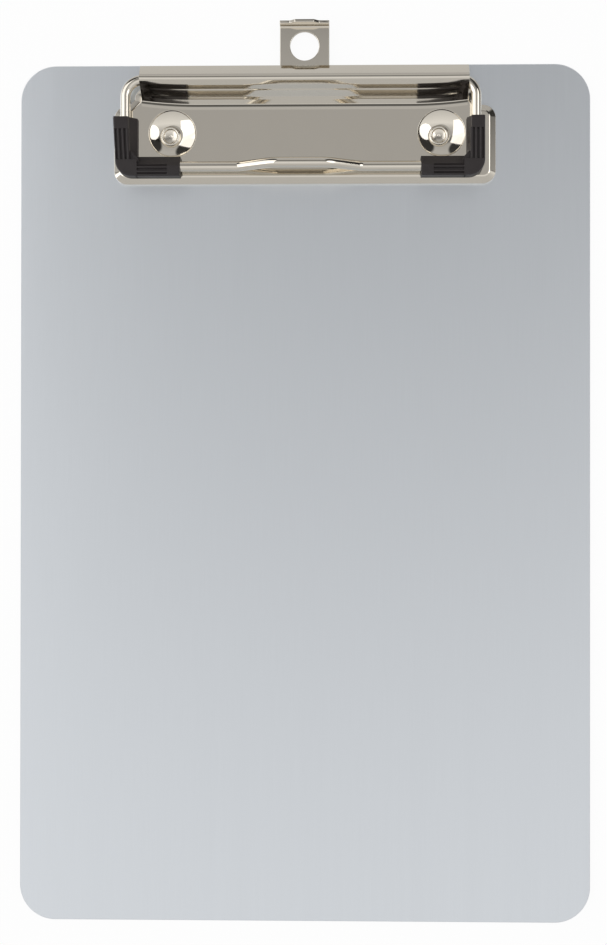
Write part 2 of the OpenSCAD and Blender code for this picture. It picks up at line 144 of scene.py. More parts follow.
class MeshMaker:
    """Collects points and faces in millimetres and turns them into a finished mesh object."""

    def __init__(self) -> None:
        """Starts with an empty mesh."""
        self.bm = bmesh.new()

    def ring(self, points: Sequence[Point3]) -> list[bmesh.types.BMVert]:
        """Adds points as vertices.

        Args:
            points: Places in millimetres.

        Returns:
            The new vertices, in order.
        """
        return [self.bm.verts.new((x * MM, y * MM, z * MM)) for x, y, z in points]

    def bridge(self, a: Sequence[bmesh.types.BMVert], b: Sequence[bmesh.types.BMVert], closed: bool) -> None:
        """Joins two rows of as many vertices by quads.

        Args:
            a: The first row.
            b: The second row.
            closed: Whether the rows are loops.
        """
        count = len(a)
        for i in range(count if closed else count - 1):
            j = (i + 1) % count
            self.bm.faces.new((a[i], a[j], b[j], b[i]))

    def disc(self, loop: Sequence[bmesh.types.BMVert]) -> None:
        """Closes a loop with one face."""
        self.bm.faces.new(loop)

    def fill(self, loops: Sequence[Sequence[bmesh.types.BMVert]]) -> None:
        """Fills the flat area inside the first loop and outside the others.

        Args:
            loops: Closed loops in one plane.
        """
        edges = []
        for loop in loops:
            for i, vert in enumerate(loop):
                other = loop[(i + 1) % len(loop)]
                edges.append(self.bm.edges.get((vert, other)) or self.bm.edges.new((vert, other)))
        bmesh.ops.triangle_fill(self.bm, use_beauty=True, use_dissolve=False, edges=edges)

    def finish(self, name: str, sharp: float = 32.0) -> bpy.types.Object:
        """Makes the object, with smooth faces, sharp corners and outward faces.

        Args:
            name: The piece's name.
            sharp: Angle in degrees past which an edge is a corner.

        Returns:
            The new object, at the origin.
        """
        bmesh.ops.remove_doubles(self.bm, verts=self.bm.verts, dist=1e-8)
        bmesh.ops.recalc_face_normals(self.bm, faces=self.bm.faces)
        mesh = bpy.data.meshes.new(name)
        self.bm.to_mesh(mesh)
        self.bm.free()
        return dressed_object(name, mesh, sharp)


def dressed_object(name: str, mesh: bpy.types.Mesh, sharp: float) -> bpy.types.Object:
    """Links a mesh as an object with smooth shading that follows its big faces.

    Args:
        name: The piece's name.
        mesh: The mesh, in metres.
        sharp: Angle in degrees past which an edge is a corner.

    Returns:
        The new object, at the origin.
    """
    mesh.polygons.foreach_set("use_smooth", [True] * len(mesh.polygons))
    mesh.set_sharp_from_angle(angle=math.radians(sharp))
    piece = bpy.data.objects.new(name, mesh)
    bpy.context.scene.collection.objects.link(piece)
    weigh_normals(piece)
    return piece


def weigh_normals(piece: bpy.types.Object) -> None:
    """Adds a modifier that lets large faces set the normals, so that flats mirror flat."""
    weigh = piece.modifiers.new("flat_normals", "WEIGHTED_NORMAL")
    weigh.mode = "FACE_AREA"
    weigh.weight = 50
    weigh.keep_sharp = True


def bevel_edges(piece: bpy.types.Object, width: float, segments: int = 2, angle: float = 32.0) -> None:
    """Rounds the corners of a piece a little.

    Args:
        piece: The piece.
        width: Bevel width in millimetres.
        segments: Steps across the bevel.
        angle: Only edges sharper than this, in degrees, are rounded.
    """
    piece.modifiers.clear()
    bevel = piece.modifiers.new("edges", "BEVEL")
    bevel.width = width * MM
    bevel.segments = segments
    bevel.limit_method = "ANGLE"
    bevel.angle_limit = math.radians(angle)
    bevel.harden_normals = False
    weigh_normals(piece)


def softened_copy(node: str, name: str, width: float) -> bpy.types.Object:
    """A copy of a CAD node with its triangles merged into flats and its edges rounded.

    Args:
        node: The CAD node.
        name: The new piece's name.
        width: Bevel width in millimetres.

    Returns:
        The new piece.
    """
    bm = bmesh.new()
    bm.from_mesh(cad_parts[node].data)
    bmesh.ops.remove_doubles(bm, verts=bm.verts, dist=2e-6)
    bmesh.ops.dissolve_limit(bm, angle_limit=math.radians(1.0), verts=bm.verts, edges=bm.edges,
                             use_dissolve_boundaries=False)
    bmesh.ops.recalc_face_normals(bm, faces=bm.faces)
    mesh = bpy.data.meshes.new(name)
    bm.to_mesh(mesh)
    bm.free()
    piece = dressed_object(name, mesh, 32.0)
    bevel_edges(piece, width)
    return piece


def place(piece: bpy.types.Object, body: Body, slot: Slot, material: bpy.types.Material,
          stands_for: Sequence[str] = ()) -> None:
    """Dresses a piece and hangs it on its body.

    Args:
        piece: The piece.
        body: The body that it rides on.
        slot: The record's slot for its finish; not used.
        material: Its material.
        stands_for: CAD nodes that it replaces.
    """
    piece.data.materials.clear()
    piece.data.materials.append(material)
    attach(piece, body.value)
    if stands_for:
        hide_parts(*stands_for)
    log.info("%s rides on %s with %d faces", piece.name, body.value, len(piece.data.polygons))


class NodeBench:
    """Small helper that adds and links the nodes of one material."""

    def __init__(self, name: str) -> None:
        """Creates an empty material of that name."""
        self.material = bpy.data.materials.new(name)
        self.material.use_nodes = True
        self.tree = self.material.node_tree
        self.tree.nodes.clear()
        self.out = self.add("ShaderNodeOutputMaterial")

    def add(self, kind: str, **values: object) -> bpy.types.Node:
        """Adds a node and sets its properties.

        Args:
            kind: The node's type name.
            **values: Properties set on the node.

        Returns:
            The new node.
        """
        node = self.tree.nodes.new(kind)
        for key, value in values.items():
            setattr(node, key, value)
        return node

    def link(self, source: bpy.types.NodeSocket, target: bpy.types.NodeSocket) -> None:
        """Links one socket to another."""
        self.tree.links.new(source, target)

    def noise(self, scale: Point3, noise_scale: float, detail: float) -> bpy.types.NodeSocket:
        """A noise texture on stretched object coordinates.

        Args:
            scale: Stretch along X, Y and Z.
            noise_scale: The noise's own scale.
            detail: The noise's detail.

        Returns:
            The noise's value.
        """
        coords = self.add("ShaderNodeTexCoord")
        mapping = self.add("ShaderNodeMapping")
        mapping.inputs["Scale"].default_value = scale
        self.link(coords.outputs["Object"], mapping.inputs["Vector"])
        noise = self.add("ShaderNodeTexNoise")
        noise.inputs["Scale"].default_value = noise_scale
        noise.inputs["Detail"].default_value = detail
        self.link(mapping.outputs["Vector"], noise.inputs["Vector"])
        return noise.outputs["Fac"]

    def spread(self, value: bpy.types.NodeSocket, low: float, high: float) -> bpy.types.NodeSocket:
        """Maps a 0 to 1 value to a range.

        Args:
            value: The value.
            low: Result at 0.
            high: Result at 1.

        Returns:
            The mapped value's socket.
        """
        node = self.add("ShaderNodeMapRange")
        node.inputs["To Min"].default_value = low
        node.inputs["To Max"].default_value = high
        self.link(value, node.inputs["Value"])
        return node.outputs["Result"]

    def surface(self, metallic: float) -> bpy.types.Node:
        """Adds the principled shader, linked to the output.

        Args:
            metallic: 1 for metal and 0 for anything else.

        Returns:
            The shader.
        """
        shader = self.add("ShaderNodeBsdfPrincipled")
        shader.inputs["Metallic"].default_value = metallic
        self.link(shader.outputs["BSDF"], self.out.inputs["Surface"])
        return shader

    def tint(self, shader: bpy.types.Node, factor: bpy.types.NodeSocket, low: Point3, high: Point3) -> None:
        """Colours a shader between two colours, the first at a factor of 0."""
        tone = self.add("ShaderNodeMix", data_type="RGBA")
        tone.inputs["A"].default_value = (*low, 1.0)
        tone.inputs["B"].default_value = (*high, 1.0)
        self.link(factor, tone.inputs["Factor"])
        self.link(tone.outputs["Result"], shader.inputs["Base Color"])

    def emboss(self, shader: bpy.types.Node, height: bpy.types.NodeSocket, strength: float, depth: float) -> None:
        """Bumps a shader's normals.

        Args:
            shader: The shader.
            height: The height's value.
            strength: Strength of the bump.
            depth: Its depth in millimetres.
        """
        bump = self.add("ShaderNodeBump")
        bump.inputs["Strength"].default_value = strength
        bump.inputs["Distance"].default_value = depth * MM
        self.link(height, bump.inputs["Height"])
        self.link(bump.outputs["Normal"], shader.inputs["Normal"])


def shaded(colour: Point3, share: float) -> Point3:
    """A colour with its brightness scaled."""
    return (colour[0] * share, colour[1] * share, colour[2] * share)


@dataclass(frozen=True)
class BrushedAluminium:
    """Aluminium sheet with a fine straight grain along the board."""

    colour: Point3 = (0.79, 0.824, 0.862)
    roughness: float = 0.34
    anisotropy: float = 0.6
    grain_strength: float = 0.05
    grain_depth: float = 0.02
    dark_share: float = 0.972
    uv_name: str = "grain"

    def material(self) -> bpy.types.Material:
        """Builds the material.

        Returns:
            The brushed material, whose grain follows the piece's own UV map.
        """
        bench = NodeBench(Slot.ALUMINIUM.value)
        shader = bench.surface(1.0)
        shader.inputs["Anisotropic"].default_value = self.anisotropy
        tangent = bench.add("ShaderNodeTangent", direction_type="UV_MAP", uv_map=self.uv_name)
        bench.link(tangent.outputs["Tangent"], shader.inputs["Tangent"])
        fine = bench.noise((9000.0, 60.0, 60.0), 1.0, 3.0)
        broad = bench.noise((700.0, 6.0, 6.0), 1.0, 2.0)
        both = bench.add("ShaderNodeMath", operation="MULTIPLY")
        bench.link(fine, both.inputs[0])
        bench.link(broad, both.inputs[1])
        bench.link(bench.spread(both.outputs["Value"], self.roughness - 0.03, self.roughness + 0.07),
                   shader.inputs["Roughness"])
        bench.tint(shader, bench.spread(fine, -0.4, 1.6), shaded(self.colour, self.dark_share), self.colour)
        bench.emboss(shader, fine, self.grain_strength, self.grain_depth)
        return bench.material


@dataclass(frozen=True)
class NickelPlate:
    """Bright nickel plating over pressed steel, with the faint waves of the pressing."""

    name: str = Slot.NICKEL.value
    colour: Point3 = (0.72, 0.672, 0.59)
    roughness: float = 0.07
    wave_strength: float = 0.06
    wave_depth: float = 0.15
    dark_share: float = 0.97

    def material(self) -> bpy.types.Material:
        """Builds the material.

        Returns:
            The plated metal.
        """
        bench = NodeBench(self.name)
        shader = bench.surface(1.0)
        haze = bench.noise((1.0, 1.0, 1.0), 180.0, 3.0)
        bench.link(bench.spread(haze, self.roughness * 0.6, self.roughness * 1.5), shader.inputs["Roughness"])
        bench.tint(shader, haze, shaded(self.colour, self.dark_share), self.colour)
        bench.emboss(shader, bench.noise((1.0, 1.6, 1.0), 55.0, 1.0), self.wave_strength, self.wave_depth)
        return bench.material


@dataclass(frozen=True)
class BlackRubber:
    """Matte moulded rubber with a fine grain and slightly worn high spots."""

    colour: Point3 = (0.016, 0.012, 0.012)
    worn: Point3 = (0.029, 0.024, 0.024)
    roughness: float = 0.46
    specular: float = 0.36
    grain_strength: float = 0.25
    grain_depth: float = 0.03

    def material(self) -> bpy.types.Material:
        """Builds the material.

        Returns:
            The rubber.
        """
        bench = NodeBench(Slot.RUBBER.value)
        shader = bench.surface(0.0)
        shader.inputs["Specular IOR Level"].default_value = self.specular
        patch = bench.noise((1.0, 1.0, 1.0), 240.0, 3.0)
        bench.tint(shader, patch, self.colour, self.worn)
        bench.link(bench.spread(patch, self.roughness - 0.08, self.roughness + 0.12), shader.inputs["Roughness"])
        bench.emboss(shader, bench.noise((1.0, 1.0, 1.0), 2600.0, 4.0), self.grain_strength, self.grain_depth)
        return bench.material


@dataclass(frozen=True)
class DrawnSteel:
    """Grey drawn or turned steel, for the hidden springs and bearing tubes."""

    name: str
    colour: Point3
    roughness: float = 0.3
    dark_share: float = 0.85

    def material(self) -> bpy.types.Material:
        """Builds the material.

        Returns:
            The steel.
        """
        bench = NodeBench(self.name)
        shader = bench.surface(1.0)
        streaks = bench.noise((40.0, 900.0, 900.0), 1.0, 3.0)
        bench.link(bench.spread(streaks, self.roughness - 0.08, self.roughness + 0.15), shader.inputs["Roughness"])
        bench.tint(shader, streaks, shaded(self.colour, self.dark_share), self.colour)
        return bench.material


@dataclass(frozen=True)
class BoardSizes:
    """Sizes that the clip's pieces share, in millimetres."""

    width: float = 152.4
    length: float = 229.0
    thick: float = 1.5
    corner: float = 9.5

    def down(self, distance: float) -> float:
        """Y of a line that lies a distance down from the board's top edge."""
        return self.length / 2 - distance

    def up(self, height: float) -> float:
        """Z of a point that lies a height above the board's writing face."""
        return self.thick + height


@dataclass
class Board:
    """The flat aluminium sheet."""

    sizes: BoardSizes
    edge: float = 0.15
    # The back lies this much inside the flush rivet heads
    back: float = 0.02
    corner_steps: int = 40

    def outline(self, inset: float) -> list[Point2]:
        """The board's plan, moved inwards by a little."""
        half_x = self.sizes.width / 2 - inset
        half_y = self.sizes.length / 2 - inset
        corners = [(-half_x, -half_y), (half_x, -half_y), (half_x, half_y), (-half_x, half_y)]
        return rounded(corners, [self.sizes.corner - inset] * 4, self.corner_steps, True)

    def build(self, finish: BrushedAluminium) -> bpy.types.Object:
        """Builds and dresses the sheet.

        Args:
            finish: The brushed finish.

        Returns:
            The board.
        """
        maker = MeshMaker()
        levels = [(self.edge, self.back), (0.0, self.back + self.edge),
                  (0.0, self.sizes.thick - self.edge), (self.edge, self.sizes.thick)]
        loops = []
        for inset, z in levels:
            loops.append(maker.ring([(x, y, z) for x, y in self.outline(inset)]))
        for low, high in zip(loops, loops[1:]):
            maker.bridge(low, high, True)
        maker.disc(loops[0])
        maker.disc(loops[-1])
        board = maker.finish("board_sheet")
        layer = board.data.uv_layers.new(name=finish.uv_name)
        for loop in board.data.loops:
            place_3d = board.data.vertices[loop.vertex_index].co
            layer.data[loop.index].uv = (place_3d.y * 4.0 + 0.5, place_3d.x * 4.0 + 0.5)
        place(board, Body.BOARD, Slot.ALUMINIUM, finish.material(), ["board"])
        return board


@dataclass
class BasePlate:
    """The pressed plate: a field with a sloped rim, two dishes and the hood along its back."""

    sizes: BoardSizes
    sheet: float = 0.6
    field_h: float = 2.3
    rim_w: float = 2.5
    rim_start: float = 0.75
    rim_foot: float = 0.95
    rim_bend: float = 0.9
    foot_bend: float = 0.35
    flat_x: float = 48.5
    flat_back: float = 13.5
    flat_front: float = 29.5
    flat_corner: float = 1.0
    throat_wide: float = 46.0
    throat_narrow: float = 43.0
    throat_run: float = 3.0
    throat_end: float = 8.9
    hood_x: float = 43.45
    crease: float = 10.95
    crease_rise: float = 1.0
    crease_curve: float = 15.0
    crease_r: float = 0.3
    # Slight bead in front of the crease: length of its front, length of its back and height
    bead: Point3 = (0.9, 0.7, 0.07)
    bead_r: float = 1.5
    # Slight waves of the front slope, as [down, height above the board, bend radius]
    front_waves: tuple[Point3, ...] = (
        (9.95, 3.29, 2.0), (9.35, 3.97, 4.0), (8.05, 5.69, 3.0), (7.75, 6.04, 2.0), (6.9, 7.28, 6.0))
    back_bulge: Point2 = (3.3, 7.48)
    bulge_r: float = 18.0
    ridge: Point2 = (5.4, 9.1)
    shoulder: Point2 = (1.38, 5.5)
    ridge_r: float = 1.1
    shoulder_r: float = 0.9
    dish_x: tuple[float, float] = (-35.25, 36.45)
    dish_down: float = 18.8
    dish_rim: float = 6.35
    dish_floor: float = 2.6
    dish_fillet: float = 0.12
    # Lean of a dish's wall in degrees: at its floor, where the steep edge starts, and at the rim
    dish_leans: Point3 = (13.0, 36.0, 62.0)
    dish_steep_from: float = 0.92
    # Channel under the field for the tab: half width, start and end down from the top edge, height
    channel: tuple[float, float, float, float] = (8.8, 5.5, 19.0, 1.15)
    channel_sink: float = 0.3
    # How far the hood's sheet runs on into the field, and how much lower it lies there
    lap: float = 4.0
    lap_sink: float = 0.01
    edge_steps: int = 12
    plan_steps: int = 12
    dish_steps: int = 96

    def flat_plan(self) -> list[Point2]:
        """The flat field's outline with its throat, as [x, y], counter-clockwise."""
        down = self.sizes.down
        back = self.flat_back
        half = [(self.flat_x, down(self.flat_front)), (self.flat_x, down(back)),
                (self.throat_wide, down(back)), (self.throat_narrow, down(back - self.throat_run)),
                (self.throat_narrow, down(self.throat_end))]
        radii = [self.flat_corner, self.flat_corner, 2.45, 1.0, 0.3]
        points = half + [(-x, y) for x, y in reversed(half)]
        return rounded(points, radii + radii[::-1], self.plan_steps, True)

    def offset_plan(self, plan: Sequence[Point2], distance: float) -> list[Point2]:
        """The outline moved outwards, point by point along its own normals."""
        out = []
        count = len(plan)
        for i, point in enumerate(plan):
            before = Vector(plan[i - 1])
            after = Vector(plan[(i + 1) % count])
            came = (Vector(point) - before).normalized()
            goes = (after - Vector(point)).normalized()
            normal = Vector((came.y + goes.y, -came.x - goes.x)).normalized()
            stretch = max(0.5, normal.dot(Vector((goes.y, -goes.x))))
            moved = Vector(point) + normal * distance / stretch
            out.append((moved.x, moved.y))
        return out

    def dish_profile(self) -> list[Point2]:
        """Section of a dish as [radius, height above the board], from the field inwards."""
        wall = [(self.dish_floor, 0.0)]
        steps = 40
        for i in range(1, steps + 1):
            way = i / steps
            bowl = min(1.0, way / self.dish_steep_from)
            steep = max(0.0, way - self.dish_steep_from) / (1.0 - self.dish_steep_from)
            lean = self.dish_leans[0] + (self.dish_leans[1] - self.dish_leans[0]) * bowl
            lean += (self.dish_leans[2] - self.dish_leans[1]) * steep
            step = (self.dish_rim - self.dish_floor) / steps
            wall.append((wall[-1][0] + step, wall[-1][1] + step * math.tan(math.radians(lean))))
        stretch = (self.field_h - self.sheet) / wall[-1][1]
        inwards = [(r, self.sheet + z * stretch) for r, z in reversed(wall)]
        lip = [(self.dish_rim + 1.0, self.field_h), inwards[0], inwards[2]]
        return rounded(lip, [0.0, self.dish_fillet, 0.0], 6, False)[1:] + inwards[3:]

    def build_field(self, nickel: bpy.types.Material) -> bpy.types.Object:
        """Builds the field with its sloped rim and its two dishes.

        Args:
            nickel: The plated finish.

        Returns:
            The field.
        """
        maker = MeshMaker()
        plan = self.flat_plan()
        section = [(self.rim_start - 1.0, self.field_h), (self.rim_start, self.field_h),
                   (self.rim_w, self.rim_foot), (self.rim_w, 0.0)]
        radii = [0.0, self.rim_bend, self.foot_bend, 0.0]
        loops = []
        for out, height in rounded(section, radii, self.edge_steps, False)[1:]:
            ring = self.offset_plan(plan, out)
            loops.append(maker.ring([(x, y, self.sizes.up(height)) for x, y in ring]))
        for high, low in zip(loops, loops[1:]):
            maker.bridge(high, low, True)
        maker.disc(loops[-1])
        rims = []
        for x in self.dish_x:
            profile = self.dish_profile()
            rings = []
            for radius, z in profile:
                ring = arc((x, self.sizes.down(self.dish_down)), radius, 0.0, 360.0, self.dish_steps)[:-1]
                rings.append(maker.ring([(px, py, self.sizes.up(z)) for px, py in ring]))
            for outer, inner in zip(rings, rings[1:]):
                maker.bridge(outer, inner, True)
            maker.disc(rings[-1])
            rims.append(rings[0])
        maker.fill([loops[0], *rims])
        plate = maker.finish("plate_field")
        self.cut_channel(plate)
        place(plate, Body.BOARD, Slot.NICKEL, nickel, ["base_plate"])
        return plate

    def cut_channel(self, plate: bpy.types.Object) -> None:
        """Cuts the low channel under the field that the tab slides into."""
        half, start, end, height = self.channel
        maker = MeshMaker()
        corners = [(-half, self.sizes.down(end)), (half, self.sizes.down(end)),
                   (half, self.sizes.down(start)), (-half, self.sizes.down(start))]
        low, high = [maker.ring([(x, y, z) for x, y in corners])
                     for z in (self.sizes.up(-self.channel_sink), self.sizes.up(height))]
        maker.bridge(low, high, True)
        maker.disc(low)
        maker.disc(high)
        cutter = maker.finish("tab_channel")
        cutter.modifiers.clear()
        plate.modifiers.clear()
        cut = plate.modifiers.new("channel", "BOOLEAN")
        cut.operation = "DIFFERENCE"
        cut.solver = "EXACT"
        cut.object = cutter
        graph = bpy.context.evaluated_depsgraph_get()
        graph.update()
        solid = bpy.data.meshes.new_from_object(plate.evaluated_get(graph))
        plate.modifiers.clear()
        plate.data = solid
        bpy.data.objects.remove(cutter)
        weigh_normals(plate)

    def hood_section(self, x: float) -> list[Point2]:
        """Outer line of the hood at x, as [y, height above the board], from the crease to the back."""
        reach = max(0.0, abs(x) - (self.hood_x - self.crease_curve)) / self.crease_curve
        shift = self.crease_rise * reach ** 2
        sunk = self.field_h - self.lap_sink
        start = self.crease - shift
        rise, fall, bead_h = self.bead
        corners = [(start + self.lap, sunk), (start + fall + rise, sunk),
                   (start + fall, sunk + bead_h), (start, sunk)]
        radii = [0.0, self.bead_r, self.bead_r, self.crease_r]
        for along, z, radius in self.front_waves:
            corners.append((along - shift * (along - self.ridge[0]) / (self.crease - self.ridge[0]), z))
            radii.append(radius)
        corners += [self.ridge, self.back_bulge, self.shoulder, (self.shoulder[0], 0.0)]
        radii += [self.ridge_r, self.bulge_r, self.shoulder_r, 0.0]
        line = rounded(corners, radii, 8, False)[1:]
        return [(self.sizes.down(v), z) for v, z in line]

    def build_hood(self, nickel: bpy.types.Material) -> bpy.types.Object:
        """Builds the hood as one folded sheet.

        Args:
            nickel: The plated finish.

        Returns:
            The hood.
        """
        maker = MeshMaker()
        stations = [self.hood_x * s for s in (-1.0, 1.0)]
        curve = [self.hood_x - self.crease_curve * i / 10 for i in range(1, 11)]
        stations += curve + [-x for x in curve]
        rows = []
        for x in sorted(stations):
            outer = self.hood_section(x)
            inner = inset_line(outer, self.sheet)
            rows.append(maker.ring([(x, y, self.sizes.up(z)) for y, z in outer + inner[::-1]]))
        for left, right in zip(rows, rows[1:]):
            maker.bridge(left, right, True)
        maker.disc(rows[0])
        maker.disc(rows[-1])
        hood = maker.finish("plate_hood", 50.0)
        bevel_edges(hood, 0.12, 2, 50.0)
        place(hood, Body.BOARD, Slot.NICKEL, nickel)
        return hood


@dataclass
class Rivets:
    """The two tubular rivets, with flush heads in the back and rolled ends in the dishes."""

    sizes: BoardSizes
    span: float = 71.7
    down: float = 19.2
    floor: float = 0.6
    roll: float = 2.8
    hollow: float = 1.65
    rise: float = 0.85
    pin: float = 0.3
    steps: int = 64

    def profile(self) -> list[Point2]:
        """Half section as [radius, z], from the flush head up and into the hollow."""
        floor = self.sizes.up(self.floor)
        half_w = (self.roll - self.hollow) / 2
        ring = arc((0.0, 0.0), 1.0, 0.0, 155.0, 18)
        roll = [(self.roll - half_w + x * half_w, floor + z * self.rise) for x, z in ring]
        start, end = roll[-1], (self.pin, floor + 0.06)
        bowl = []
        for i in range(1, 9):
            r = start[0] + (end[0] - start[0]) * i / 8
            bowl.append((r, end[1] + (start[1] - end[1]) * (r / start[0]) ** 2))
        pit = [(self.pin * 0.6, floor - 0.03), (0.0, floor - 0.05)]
        return [(0.0, 0.0), (2.9, 0.0), (3.0, 0.08), (1.6, 0.8), (1.6, floor), *roll, *bowl, *pit]

    def build(self, nickel: bpy.types.Material) -> list[bpy.types.Object]:
        """Builds both rivets.

        Args:
            nickel: The plated finish.

        Returns:
            The left and the right rivet.
        """
        made = []
        for name, side in (("rivet_left", -1), ("rivet_right", 1)):
            maker = MeshMaker()
            centre = (side * self.span / 2, self.sizes.down(self.down))
            rings = []
            for radius, z in self.profile():
                if radius == 0.0:
                    rings.append(maker.ring([(*centre, z)]))
                    continue
                circle = arc(centre, radius, 0.0, 360.0, self.steps)[:-1]
                rings.append(maker.ring([(x, y, z) for x, y in circle]))
            for low, high in zip(rings, rings[1:]):
                if len(low) == 1 or len(high) == 1:
                    tip, loop = (low[0], high) if len(low) == 1 else (high[0], low)
                    for i, vert in enumerate(loop):
                        maker.bm.faces.new((tip, vert, loop[(i + 1) % len(loop)]))
                else:
                    maker.bridge(low, high, True)
            rivet = maker.finish(name + "_turned", 40.0)
            place(rivet, Body.BOARD, Slot.NICKEL, nickel, [name])
            made.append(rivet)
        return made


@dataclass
class Bail:
    """The wire bail."""

    sizes: BoardSizes
    wire_r: float = 1.35
    hinge_down: float = 5.0
    hinge_h: float = 4.6
    arm_x: float = 46.5
    leg_bend: float = 4.5
    front_bend: float = 4.0
    front_down: float = 28.0
    hump_h: float = 5.5
    hump_top: float = 14.0
    hump_foot: float = 32.0
    hump_foot_r: float = 4.0
    hump_top_r: float = 7.0
    leg_end: float = 21.0
    side: float = 1.0
    around: int = 48

    def path(self) -> list[Point3]:
        """The wire's axis, from one inner leg's end to the other one's."""
        down = self.sizes.down
        level = self.sizes.up(self.hinge_h)
        corners = [(self.leg_end, down(self.hinge_down)), (self.arm_x, down(self.hinge_down)),
                   (self.arm_x, down(self.front_down)), (self.hump_foot / 2 + 6.0, down(self.front_down))]
        flat = rounded(corners, [0.0, self.leg_bend, self.front_bend, 0.0], 16, False)
        rise = [(self.hump_foot / 2 + 5.0, 0.0), (self.hump_foot / 2, 0.0), (self.hump_top / 2, self.hump_h),
                (0.0, self.hump_h)]
        hump = rounded(rise, [0.0, self.hump_foot_r, self.hump_top_r, 0.0], 16, False)
        half = [(x, y, level) for x, y in flat] + [(x, down(self.front_down), level + z) for x, z in hump]
        line = half + [(-x, y, z) for x, y, z in reversed(half[:-1])]
        return [(x - self.side, y, z) for x, y, z in line]

    def build(self, nickel: bpy.types.Material) -> bpy.types.Object:
        """Builds the wire as one smooth tube.

        Args:
            nickel: The plated finish.

        Returns:
            The wire.
        """
        maker = MeshMaker()
        path = [Vector(p) for p in self.path()]
        rings = []
        frame_side = Vector((0.0, 0.0, 1.0))
        for i, point in enumerate(path):
            way = (path[min(len(path) - 1, i + 1)] - path[max(0, i - 1)]).normalized()
            frame_side = (frame_side - way * frame_side.dot(way)).normalized()
            other = way.cross(frame_side)
            turns = [2 * math.pi * k / self.around for k in range(self.around)]
            ring = [point + (frame_side * math.cos(t) + other * math.sin(t)) * self.wire_r for t in turns]
            rings.append(maker.ring([tuple(p) for p in ring]))
        for a, b in zip(rings, rings[1:]):
            maker.bridge(a, b, True)
        maker.disc(rings[0])
        maker.disc(rings[-1])
        wire = maker.finish("bail_round_wire", 50.0)
        place(wire, Body.BAIL, Slot.NICKEL, nickel, ["bail_wire"])
        return wire


def tree_input(tree: bpy.types.NodeTree, name: str, kind: str) -> str:
    """Adds a named input to a node group.

    Args:
        tree: The group.
        name: The input's name.
        kind: Its socket type.

    Returns:
        The socket's identifier.
    """
    return tree.interface.new_socket(name=name, in_out="INPUT", socket_type=kind).identifier


def baked(name: str, tree: bpy.types.NodeTree, values: dict[str, object]) -> bpy.types.Mesh:
    """Runs a node group on an empty mesh and returns the result as a plain mesh.

    Args:
        name: Name of the mesh.
        tree: The node group.
        values: Value of each input, by socket identifier.

    Returns:
        The mesh that the group makes.
    """
    carrier = bpy.data.objects.new(name + "_carrier", bpy.data.meshes.new(name + "_carrier"))
    bpy.context.scene.collection.objects.link(carrier)
    modifier = carrier.modifiers.new("pattern", "NODES")
    modifier.node_group = tree
    for identifier, value in values.items():
        modifier[identifier] = value
    graph = bpy.context.evaluated_depsgraph_get()
    graph.update()
    mesh = bpy.data.meshes.new_from_object(carrier.evaluated_get(graph))
    mesh.name = name
    carrier.modifiers.clear()
    bpy.data.objects.remove(carrier)
    return mesh


